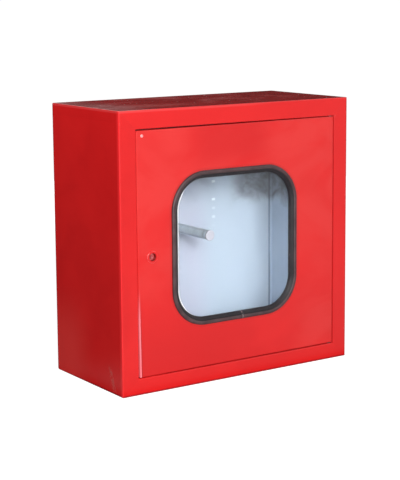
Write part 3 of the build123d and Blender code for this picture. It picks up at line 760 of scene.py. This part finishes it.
def window_strip(name, section, material, shape):
    """A strip round the window. Its section is (inwards, forwards) from the window's outline.

    shape(along, total, section point) gives the moved section point. along is the distance from the
    butt joint, of the strip's total length."""
    path = window_path()
    lengths = [0.0]
    for (a, _), (b, _) in zip(path, path[1:]):
        lengths.append(lengths[-1] + (b - a).length)
    total = lengths[-1]
    points, faces = [], []
    count = len(section)
    for (place, inward), along in zip(path, lengths):
        for corner in section:
            u, v = shape(along, total, corner)
            spot = place + inward * u
            points.append((spot.x, FRONT - v, spot.y))
    for ring in range(len(path) - 1):
        for i in range(count):
            j = (i + 1) % count
            a, b = ring * count, (ring + 1) * count
            faces.append((a + i, a + j, b + j, b + i))
    faces.append(tuple(range(count))[::-1])
    faces.append(tuple((len(path) - 1) * count + i for i in range(count)))
    return mesh_piece(name, points, faces, material)


def ripple(along, frequency, seed):
    """A smooth random wave along a strip, from -1 to 1."""
    return noise.noise(Vector((along * frequency, seed, 0.37))) * 1.6


def rubber_shape(lift):
    """How the extrusion wanders: slight waves, and its left end stands a little proud at the joint."""

    def shape(along, total, corner):
        wave = ripple(along, 9.0, 3.1) * 0.22 * MM
        swell = ripple(along, 21.0, 7.7) * 0.10 * MM
        end = total - along
        raised = lift * math.exp(-((end / (9 * MM)) ** 2))
        front_share = min(1.0, max(0.0, corner[1] / (3 * MM)))
        v = min(corner[1] + front_share * (swell + raised), 4.95 * MM)
        return corner[0] + wave * (1.0 if corner[1] > 0 else 0.2), v

    return shape


def section_points(pairs):
    return [Vector((u, v)) * MM for u, v in pairs]


def window_rubber():
    """The gasket and its locking strip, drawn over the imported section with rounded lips."""
    p = {name: Vector(value) * MM for name, value in {
        "foot": (0.3, 0.05),
        "lip": (1.5, 3.1),
        "crest": (4.6, 4.25),
        "slope": (7.6, 3.9),
        "groove": (9.6, 2.5),
        "inner": (13.7, 0.7),
        "fall": (16.0, -1.4),
        "tip": (17.3, -4.3),
    }.items()}
    front = arc_points(p["foot"], p["lip"], p["crest"], 7)
    front += arc_points(p["crest"], p["slope"], p["groove"], 6)
    front += section_points([(9.75, 2.2), (9.8, -1.2), (13.4, -1.2), (13.45, 0.6)])
    front += arc_points(p["inner"], p["fall"], p["tip"], 6)
    behind = section_points([
        (17.45, -4.9), (17.4, -5.5), (11.5, -5.5), (11.5, -9.5), (16.4, -9.6), (16.2, -10.4),
        (15.3, -11.9), (14.0, -12.4), (10.0, -12.4), (9.0, -11.4), (6.5, -5.6), (5.8, -5.2), (1.9, -4.5),
        (1.5, -4.1), (1.5, -1.25), (8.5, -1.25), (8.5, 0.0), (1.0, 0.0),
    ])
    black = rubber("gasket_rubber", (0.046, 0.024, 0.027), (0.115, 0.070, 0.074), 0.35)
    gasket = window_strip("window_rubber", front + behind, black, rubber_shape(1.0 * MM))
    inner = rubber("gasket_inner_rubber", (0.015, 0.012, 0.015), (0.040, 0.033, 0.038), 0.3)
    gasket.data.materials.append(inner)
    # Only the crest and its two slopes have a dusty bloom; the rest of the section is darker, partly as
    # painted shade.
    count = len(front + behind)
    for polygon in gasket.data.polygons:
        if polygon.loop_total == 4 and not 1 <= polygon.index % count < 12:
            polygon.material_index = 1
    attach(gasket, "door")
    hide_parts("window_gasket")

    strip_section = section_points([
        (9.85, -1.1), (9.85, 1.5), (10.1, 2.15), (10.7, 2.35), (11.6, 2.2), (12.5, 1.7), (13.15, 1.1),
        (13.38, 0.5), (13.38, -1.1),
    ])
    dark = rubber("strip_rubber", (0.009, 0.007, 0.009), (0.022, 0.018, 0.022), 0.4)
    strip = window_strip("rubber_locking_strip", strip_section, dark, rubber_shape(0.2 * MM))
    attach(strip, "door")
    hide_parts("gasket_locking_strip")
    joint_glue(front)


def joint_glue(front):
    """Grey glue that fills the gap between the rubber's two ends."""
    joint = WINDOW_CENTRE.x + JOINT_OFFSET
    low = WINDOW_LOW.z
    reach = JOINT_GAP / 2 + 0.3 * MM
    section = [(u, min(v + 0.15 * MM, 4.95 * MM)) for u, v in front]
    section += [(17.0 * MM, -4.6 * MM), (1.6 * MM, 0.1 * MM)]
    points = [(joint + side * reach, FRONT - v, low + u) for side in (-1, 1) for u, v in section]
    count = len(section)
    faces = [(i, (i + 1) % count, count + (i + 1) % count, count + i) for i in range(count)]
    faces += [tuple(range(count))[::-1], tuple(range(count, 2 * count))]
    grey = rubber("joint_glue", (0.17, 0.13, 0.13), (0.25, 0.19, 0.19), 0.3)
    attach(mesh_piece("rubber_joint_glue", points, faces, grey, smooth=False), "door")


def glazing_bead():
    """A thin smear of pale sealant where the rubber's lip meets the glass, mostly at the left."""
    pale = plastic("glazing_sealant", (0.90, 0.90, 0.92), (0.80, 0.80, 0.84), 0.35)
    inner = 17.4 * MM
    glass_front = FRONT - PANE_FRONT

    def shape(along, total, corner):
        share = along / total
        # The strip starts below the middle and runs up the right side, over the top and down the left.
        full = smooth((share - 0.58) / 0.06) * (1.0 - smooth((share - 0.82) / 0.08))
        width = (0.12 + 0.88 * full) * (1.0 + 0.25 * ripple(along, 30.0, 1.9))
        height = 0.4 + 0.6 * full
        return inner - 0.5 * MM + corner[0] * width, glass_front + 0.05 * MM + corner[1] * height

    section = section_points([(0, 0), (0, 1.0), (1.4, 0.95), (3.0, 0.5), (3.8, 0)])
    bead = window_strip("glazing_sealant_bead", section, pale, shape)
    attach(bead, "door")


def smooth(t):
    """Smooth step of t from 0 to 1, clamped outside."""
    t = min(1.0, max(0.0, t))
    return t * t * (3 - 2 * t)


def door_panel():
    """The door sheet as it really hangs: its free edge is a little out of true beside the frame."""
    mesh = nodes["door_skin"].data.copy()
    mesh.name = "door_panel"
    piece = bpy.data.objects.new("door_panel", mesh)
    bpy.context.scene.collection.objects.link(piece)
    b = bmesh.new()
    b.from_mesh(mesh)
    cuts = [((DOOR_LOW.x + inset * MM, 0, 0), (1, 0, 0)) for inset in (4, 9, 18, 32)]
    rows = 12
    for i in range(1, rows):
        level = DOOR_LOW.z + (DOOR_HIGH.z - DOOR_LOW.z) * i / rows
        cuts.append(((0, 0, level), (0, 0, 1)))
    for level in (DOOR_LOW.z + 4 * MM, DOOR_LOW.z + 13 * MM, DOOR_HIGH.z - 13 * MM, DOOR_HIGH.z - 4 * MM):
        cuts.append(((0, 0, level), (0, 0, 1)))
    for place, direction in cuts:
        everything = list(b.verts) + list(b.edges) + list(b.faces)
        bmesh.ops.bisect_plane(b, geom=everything, dist=1e-7, plane_co=place, plane_no=direction)
    for v in b.verts:
        v.co += door_misfit(v.co)
    for e in b.edges:
        e.smooth = len(e.link_faces) == 2 and e.calc_face_angle(0.0) < math.radians(28)
    for f in b.faces:
        f.smooth = True
    b.to_mesh(mesh)
    b.free()
    if mesh.has_custom_normals:
        mesh.attributes.remove(mesh.attributes["custom_normal"])
    weighted = piece.modifiers.new("flat_faces", "WEIGHTED_NORMAL")
    weighted.keep_sharp = True
    weighted.weight = 100
    mesh.materials.clear()
    mesh.materials.append(enamel(
        "door_enamel", door_inside, mottle=0.55, sheen_haze=0.5, shaded_high=False, rubbed_highlight=True
    ))
    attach(piece, "door")
    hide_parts("door_skin")


def door_misfit(point):
    """The free edge leans, its lower corner is slightly proud, and the gaps above and below are tight."""
    height = (point.z - DOOR_LOW.z) / (DOOR_HIGH.z - DOOR_LOW.z)
    from_edge = (point.x - DOOR_LOW.x) / (20 * MM)
    edge = 1.0 - smooth(from_edge)
    lean = (-0.9 - 1.1 * smooth((height - 0.28) / 0.30)) * MM
    across = (point.x - DOOR_LOW.x) / (DOOR_HIGH.x - DOOR_LOW.x)
    grown = (1.9 * across - 0.3) * smooth((point.z - DOOR_HIGH.z) / (12 * MM) + 1) * MM
    grown -= 0.9 * smooth((DOOR_LOW.z - point.z) / (12 * MM) + 1) * MM
    corner = Vector((point.x - DOOR_LOW.x, point.z - DOOR_LOW.z)).length
    proud = 2.6 * MM * (1.0 - smooth(corner / (150 * MM)))
    return Vector((edge * lean, -proud, grown))


def peg_weld():
    """The weld bead where the tube meets its plate: a ring of overlapping ripples."""
    radius = (PEG_HIGH.x - PEG_LOW.x) / 2
    plate_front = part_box("hose_peg_plate")[0].y
    around, across = 96, 8
    points, faces = [], []
    for i in range(around):
        angle = 2 * math.pi * i / around
        ripple_height = 1.0 + 0.13 * math.cos(angle * 24) + 0.08 * ripple(angle, 1.3, 5.5)
        for j in range(across):
            t = math.pi / 2 * j / (across - 1)
            bead = 2.6 * MM * ripple_height
            r = radius - 0.2 * MM + bead * math.cos(t)
            depth = bead * math.sin(t) - 0.1 * MM
            points.append((PEG_X + r * math.cos(angle), plate_front - depth, PEG_Z + r * math.sin(angle)))
    for i in range(around):
        a, b = i * across, (i + 1) % around * across
        for j in range(across - 1):
            faces.append((a + j, b + j, b + j + 1, a + j + 1))
    steel = plated("weld_steel", (0.50, 0.52, 0.53), (0.30, 0.27, 0.24), 0.45, 200)
    weld = mesh_piece("peg_weld_bead", points, faces, steel)
    solid = weld.modifiers.new("body", "SOLIDIFY")
    solid.thickness = 0.5 * MM
    solid.offset = -1
    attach(weld, "casing")


# ---------------------------------------------------------------- studio

FLOOR_REACH = 400.0
CAMERA_LENS = 104.28
CAMERA_SHIFT_UP = -0.0833
CAMERA_DISTANCE = 3.1339
CAMERA_OFFSET_RIGHT = -7.2 * MM
CAMERA_OFFSET_UP = 74.3 * MM
CAMERA_YAW = math.radians(34.037)
CAMERA_PITCH = math.radians(-8.460)
CAMERA_ROLL = math.radians(-0.428)


def camera():
    """The camera: a long lens a little above the cabinet's middle, to its left."""
    forward = Vector((
        math.sin(CAMERA_YAW) * math.cos(CAMERA_PITCH),
        math.cos(CAMERA_YAW) * math.cos(CAMERA_PITCH),
        math.sin(CAMERA_PITCH),
    ))
    level = Vector((math.cos(CAMERA_YAW), -math.sin(CAMERA_YAW), 0))
    upright = level.cross(forward)
    right = level * math.cos(CAMERA_ROLL) + upright * math.sin(CAMERA_ROLL)
    up = upright * math.cos(CAMERA_ROLL) - level * math.sin(CAMERA_ROLL)
    centre = Vector(((LEFT + RIGHT) / 2, 0, (BOTTOM + TOP) / 2))
    place = centre - forward * CAMERA_DISTANCE + level * CAMERA_OFFSET_RIGHT + upright * CAMERA_OFFSET_UP
    data = bpy.data.cameras.new("camera")
    data.lens = CAMERA_LENS
    data.sensor_width = 36
    data.shift_y = CAMERA_SHIFT_UP
    data.clip_start, data.clip_end = 0.1, 2 * FLOOR_REACH
    view = bpy.data.objects.new("camera", data)
    turn = Matrix((right, up, -forward)).transposed().to_4x4()
    view.matrix_world = Matrix.Translation(place) @ turn
    bpy.context.scene.collection.objects.link(view)
    bpy.context.scene.camera = view


def lamp(name, place, target, width, height, watts):
    """A rectangular lamp that faces its target and is not seen by the camera."""
    data = bpy.data.lights.new(name, "AREA")
    data.shape = "RECTANGLE"
    data.size, data.size_y = width, height
    data.energy = watts
    light = bpy.data.objects.new(name, data)
    light.location = place
    light.rotation_mode = "QUATERNION"
    light.rotation_quaternion = (Vector(target) - Vector(place)).to_track_quat("-Z", "Y")
    light.visible_camera = False
    bpy.context.scene.collection.objects.link(light)
    return light


def around(azimuth, elevation, distance):
    """A place round the cabinet's middle. Azimuth 0 is in front and 90 at its right."""
    a, e = math.radians(azimuth), math.radians(elevation)
    middle = Vector(((LEFT + RIGHT) / 2, 0, (BOTTOM + TOP) / 2))
    return middle + Vector((math.sin(a) * math.cos(e), -math.cos(a) * math.cos(e), math.sin(e))) * distance


def lights():
    """One key lamp in front and three weak fills that mirrored surfaces don't show."""
    middle = around(0, 0, 0)
    lamp("key_softbox", around(-23.5, 14, 4.0), middle, 0.8, 0.8, 172)
    back = lamp("back_fill", around(150, 3, 3.2), middle, 1.6, 1.6, 30)
    right = lamp("right_fill", around(72, 3, 3.2), middle, 1.6, 1.6, 26)
    left = lamp("left_fill", around(-84, 38, 1.15), Vector((LEFT, 0, TOP)), 0.5, 0.5, 2.6)
    for fill in (back, right, left):
        fill.visible_glossy = False


class Room:
    """The world's nodes."""

    def __init__(self, name):
        self.world = bpy.data.worlds.new(name)
        self.world.use_nodes = True
        self.tree = self.world.node_tree
        self.tree.nodes.clear()

    put, add, ramp, math = Look.put, Look.add, Look.ramp, Look.math


def world():
    """White to the camera, bright in front and above to mirrored surfaces, and a faint glow to matt ones."""
    room = Room("studio")
    direction = room.add("ShaderNodeTexCoord").outputs["Generated"]
    axes = room.add("ShaderNodeSeparateXYZ", {0: direction}).outputs
    front = room.ramp(axes[1], 0.35, -0.6, 0.02, 1.0)
    ceiling = room.ramp(axes[2], 0.32, 0.55, 0.0, 0.9)
    mirrored = room.math("MAXIMUM", front, ceiling)
    matt = room.ramp(axes[1], 0.5, -0.7, 0.04, 0.10)
    path = room.add("ShaderNodeLightPath").outputs
    lit = room.add("ShaderNodeMix", {0: path["Is Glossy Ray"], 2: matt, 3: mirrored}).outputs[0]
    strength = room.add("ShaderNodeMix", {0: path["Is Camera Ray"], 2: lit, 3: 1.0}).outputs[0]
    background = room.add("ShaderNodeBackground", {"Color": (1, 1, 1), "Strength": strength})
    room.add("ShaderNodeOutputWorld", {0: background.outputs[0]})
    bpy.context.scene.world = room.world
    bpy.context.scene.view_settings.view_transform = "Standard"


def floor():
    """A pale floor. It has some light of its own, so that it stays pale far off; mirrors see a dim one, with
    a painted shadow right beside the cabinet.
    """
    reach = FLOOR_REACH
    points = [(a * reach, b * reach, BOTTOM) for a, b in ((-1, -1), (1, -1), (1, 1), (-1, 1))]
    look = Look("studio_floor", {"Roughness": 0.9, "Specular IOR Level": 0.0})
    x, y, z = look.axes()
    path = look.add("ShaderNodeLightPath").outputs
    grain = look.noise(6, 3)
    lit = look.mix(grain, (0.36, 0.36, 0.36), (0.39, 0.39, 0.39))
    look.set("Base Color", look.mix(path["Is Glossy Ray"], lit, (0.0, 0.0, 0.0)))
    squares = look.math("ADD", look.math("POWER", x, 2.0), look.math("POWER", y, 2.0))
    seen = look.ramp(look.math("SQRT", squares), 0.6, 2.5, 0.94, 1.0)
    beside = look.minus(look.math("ABSOLUTE", x), RIGHT)
    before = look.minus(look.math("ABSOLUTE", y), BACK)
    # Painted shadow: mirrors see the floor dark right beside the cabinet.
    clear = look.ramp(look.most(beside, before), 0.0, 0.06)
    mirrored = look.multiply(look.ramp(y, 0.25, -0.45, 0.03, 0.58), clear)
    to_glossy = look.multiply(path["Is Glossy Ray"], mirrored)
    glow = look.math("MULTIPLY_ADD", path["Is Camera Ray"], seen, to_glossy)
    look.set("Emission Color", (1, 1, 1))
    look.set("Emission Strength", glow)
    plane = mesh_piece("floor", points, [(0, 1, 2, 3)], look.material, smooth=False)
    plane.location.z = -0.5 * MM


paint_all()
door_panel()
window_rubber()
glazing_bead()
peg_weld()
camera()
lights()
world()
floor()
